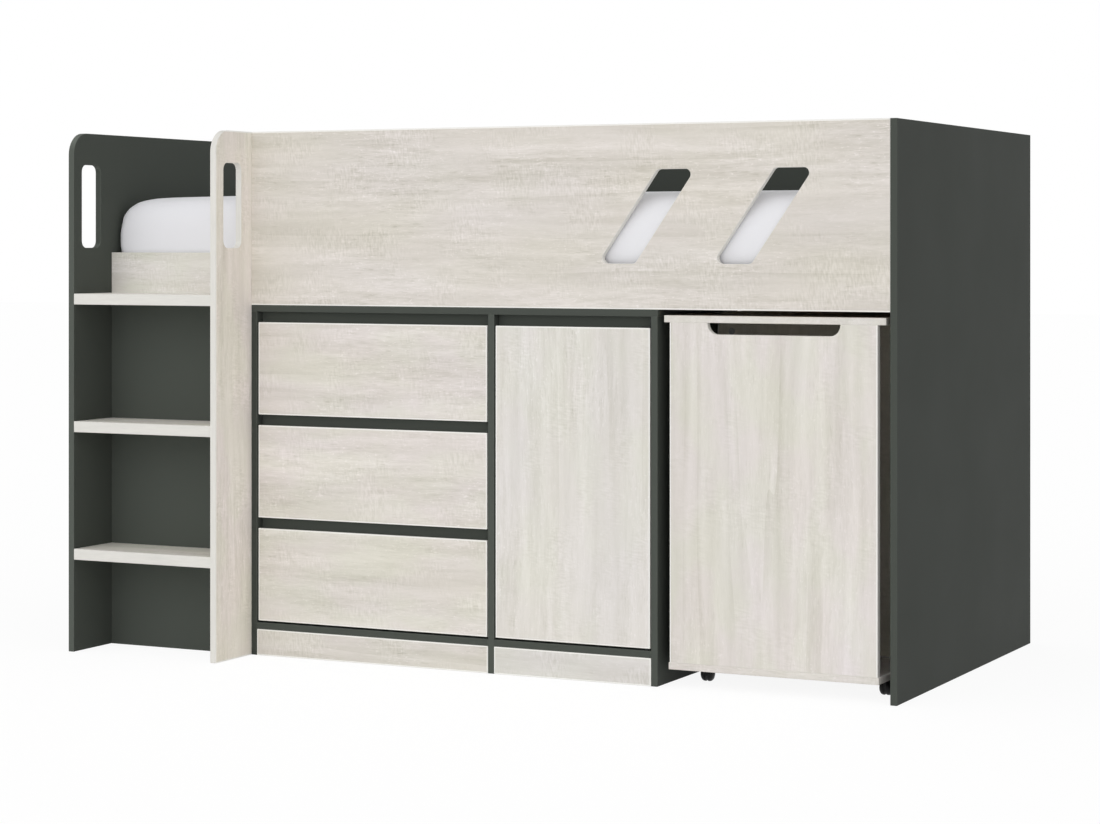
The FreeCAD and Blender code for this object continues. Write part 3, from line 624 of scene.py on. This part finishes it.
def black_finish(name, shade, rough):
    """A dark, fine-grained skin with a little dust."""
    def paint(place, facing):
        grit, dust = specks(place, 1400.0), specks(place, 60.0, 3.0)
        return {
            "Base Color": mixed(spread(dust, 0.55, 0.75) * 0.25, shade, linear(60, 60, 58)),
            "Roughness": swing(swing(rough, 0.15, dust), 0.1, grit),
            "Normal": bumped(grit, strength=0.15, distance=0.0002),
            "Specular IOR Level": 0.2,
        }
    return make_finish(name, paint)


slide_steel = make_finish("drawn_steel", paint_slide_steel)
zinc = make_finish("zinc_casting", paint_zinc)
castor_plastic = black_finish("castor_plastic", linear(18, 18, 18), 0.42)
dark_metal = black_finish("coated_metal", linear(40, 41, 40), 0.36)
for level in drawer_levels:
    finishes[f"drawer_{level}_slides"] = slide_steel
finishes["drawer_runners"] = slide_steel
for node in ("frame_cam_locks", "desk_cam_locks", "shelf_pins"):
    finishes[node] = zinc
for node in ("door_pivot_pins", "door_pivot_seats"):
    finishes[node] = dark_metal
castor_wheels = [f"castor_wheel_{end}_{side}" for end in ("front", "rear") for side in ("left", "right")]
for node in castor_wheels + ["castor_housings"]:
    finishes[node] = castor_plastic
print(len(finishes), "solids with a finish")

# %% dress the solids
for node, material in finishes.items():
    boards[node].data.materials.clear()
    boards[node].data.materials.append(material)
print("solids without a finish:", sorted(set(boards) - set(finishes)))

# %% [markdown]
# ## The mattress
# A foam mattress in a smooth knitted cover: nearly flat on top, with full soft sides that have no
# straight part. The solid has that form in bands, so it is copied, wrapped in an even mesh and blown
# up gently as cloth, which rounds the bands off the way a filled cover does. The filled cover is then
# drawn to the solid's height, and to a length and width that all but fill the space between the
# guards and the end panels, because the picture shows it close behind the windows. Its corners are
# drawn a little squarer in plan, as firm foam keeps them. Its underside stays flat on the slats.

# %% mattress
mattress_low, mattress_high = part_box("mattress")
mattress_mesh = boards["mattress"].data.copy()
mattress_mesh.name = "soft_mattress"
mattress_mesh.materials.clear()
soft_mattress = placed("soft_mattress", mattress_mesh)


def apply_modifiers(piece):
    """Replaces a piece's mesh by what its modifiers make of it."""
    graph = bpy.context.evaluated_depsgraph_get()
    made = bpy.data.meshes.new_from_object(piece.evaluated_get(graph))
    piece.modifiers.clear()
    piece.data = made


weld = soft_mattress.modifiers.new("weld", "WELD")
weld.merge_threshold = 0.0001
even = soft_mattress.modifiers.new("even", "REMESH")
even.mode = "VOXEL"
even.voxel_size = 0.012
apply_modifiers(soft_mattress)
print("mattress mesh", len(soft_mattress.data.vertices), "points")

# %% the filled cover
cover_frames = 20
swell_cap = 0.005
cover_settings = {
    "quality": 4, "mass": 0.4, "tension_stiffness": 12.0, "compression_stiffness": 12.0,
    "bending_stiffness": 2.0, "use_pressure": True, "uniform_pressure_force": 4.0,
}
before = [vertex.co.copy() for vertex in soft_mattress.data.vertices]
cloth = soft_mattress.modifiers.new("cover", "CLOTH")
for name, value in cover_settings.items():
    setattr(cloth.settings, name, value)
cloth.settings.effector_weights.gravity = 0.0
cloth.collision_settings.use_collision = False
cloth.point_cache.frame_start = 1
cloth.point_cache.frame_end = cover_frames
for step in range(1, cover_frames + 1):
    bpy.context.scene.frame_set(step)
apply_modifiers(soft_mattress)
bpy.context.scene.frame_set(1)
for vertex, start_place in zip(soft_mattress.data.vertices, before):
    move = vertex.co - start_place
    if move.length > swell_cap:
        vertex.co = start_place + move * (swell_cap / move.length)
print("cover filled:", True)

# %% drawn to size
fuller = Vector((0.0035, 0.0035, 0.0))
squareness = 0.09
soft = soft_mattress.modifiers.new("settle", "SMOOTH")
soft.factor = 0.5
soft.iterations = 12
apply_modifiers(soft_mattress)
target_low, target_high = mattress_low - fuller, mattress_high + fuller
points = [vertex.co for vertex in soft_mattress.data.vertices]
for i in range(3):
    first, last = min(point[i] for point in points), max(point[i] for point in points)
    stretch = (target_high[i] - target_low[i]) / (last - first)
    for point in points:
        point[i] = target_low[i] + (point[i] - first) * stretch
for i in range(2):
    middle, half = (target_low[i] + target_high[i]) / 2, (target_high[i] - target_low[i]) / 2
    for point in points:
        share = (point[i] - middle) / half
        point[i] = middle + half * share * (1.0 + squareness * (1.0 - share * share))
round_off = soft_mattress.modifiers.new("round_off", "SUBSURF")
round_off.levels = round_off.render_levels = 1
soft_mattress.data.shade_smooth()
print("mattress from", [round(v, 4) for v in target_low], "to", [round(v, 4) for v in target_high])


# %% knitted cover
def paint_cover(place, facing):
    loops = None
    for axis, seed in (("X", 0.0), ("Y", 1.3)):
        turned = place.node("ShaderNodeMapping", None, {
            "Vector": place, "Rotation": (0.4 * seed, 0.7 + seed, 0.5 + seed)})
        rows = place.node("ShaderNodeTexWave", {"wave_type": "BANDS", "bands_direction": axis}, {
            "Vector": turned, "Scale": 260.0, "Distortion": 1.2, "Detail": 1.0}, out=1)
        loops = rows if loops is None else loops * rows
    cloud, pile = specks(place, 9.0), specks(place, 700.0)
    white_knit = mixed(spread(loops, 0.0, 0.6), linear(236, 236, 240), linear(243, 243, 246))
    return {
        "Base Color": shaded(white_knit, 0.985 + 0.03 * cloud),
        "Roughness": swing(0.86, 0.08, pile),
        "Normal": bumped(loops + 0.3 * pile, strength=0.10, distance=0.0004),
        "Sheen Weight": 0.25,
        "Specular IOR Level": 0.2,
    }


soft_mattress.data.materials.append(make_finish("knitted_cover", paint_cover))
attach(soft_mattress, "bed_frame")
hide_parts("mattress")
print("mattress dressed")

# %% [markdown]
# ## Castor wheels
# The solid wheels are turned with square shoulders. Twin castors of this kind are moulded as two
# bowls, back to back on one axle, so each pair is turned again from the outline of one bowl and its
# mirror image: a small hub, a quarter of an oval out to the tread, and a flat inner cheek.

# %% a turned piece
def turned_piece(name, outline, centre, turns=48):
    """A piece turned about a line along X; the outline is (along, out from the line) in metres."""
    sheet = bmesh.new()
    rings = []
    for turn in range(turns):
        angle = 2 * math.pi * turn / turns
        across, up = math.cos(angle), math.sin(angle)
        rings.append([sheet.verts.new(centre + Vector((along, out * across, out * up)))
                      for along, out in outline])
    for ring, following in zip(rings, rings[1:] + rings[:1]):
        for i in range(len(outline) - 1):
            sheet.faces.new((ring[i], ring[i + 1], following[i + 1], following[i]))
    bmesh.ops.recalc_face_normals(sheet, faces=sheet.faces)
    mesh = bpy.data.meshes.new(name)
    sheet.to_mesh(mesh)
    sheet.free()
    mesh.shade_smooth()
    return placed(name, mesh)


hub, cheek, axle = 0.0055, 0.0028, 0.003
hub_round, hub_step, shoulder, broken_edge = 0.001, 0.0006, 0.0008, 0.0004
centre_hole, tread_share, oval_steps = 0.0001, 0.36, 10


def half_bowl(half, radius):
    """The outline of one bowl, from the middle of its outer face to the axle."""
    tread = half * tread_share
    outline = [(half, centre_hole), (half, hub - hub_round), (half - hub_step, hub)]
    for step in range(1, oval_steps + 1):
        turn = math.radians(90 * step / oval_steps)
        along = tread + (half - shoulder - tread) * math.cos(turn)
        outline.append((along, hub + (radius - hub) * math.sin(turn)))
    return outline + [(cheek + broken_edge, radius), (cheek, radius - broken_edge), (cheek, axle)]


print("hub of", hub, "metres, oval in", oval_steps, "steps")

# %% castor bowls
for node in castor_wheels:
    low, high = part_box(node)
    centre, half, radius = (low + high) / 2, (high.x - low.x) / 2, (high.z - low.z) / 2
    bowl = half_bowl(half, radius)
    other = [(-along, out) for along, out in reversed(bowl)]
    wheel = turned_piece("bowl_" + node, bowl + other, centre)
    wheel.data.materials.append(castor_plastic)
    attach(wheel, node)
    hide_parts(node)
print("castor bowls turned, radius", round(radius, 4), "half width", round(half, 4))

# %% [markdown]
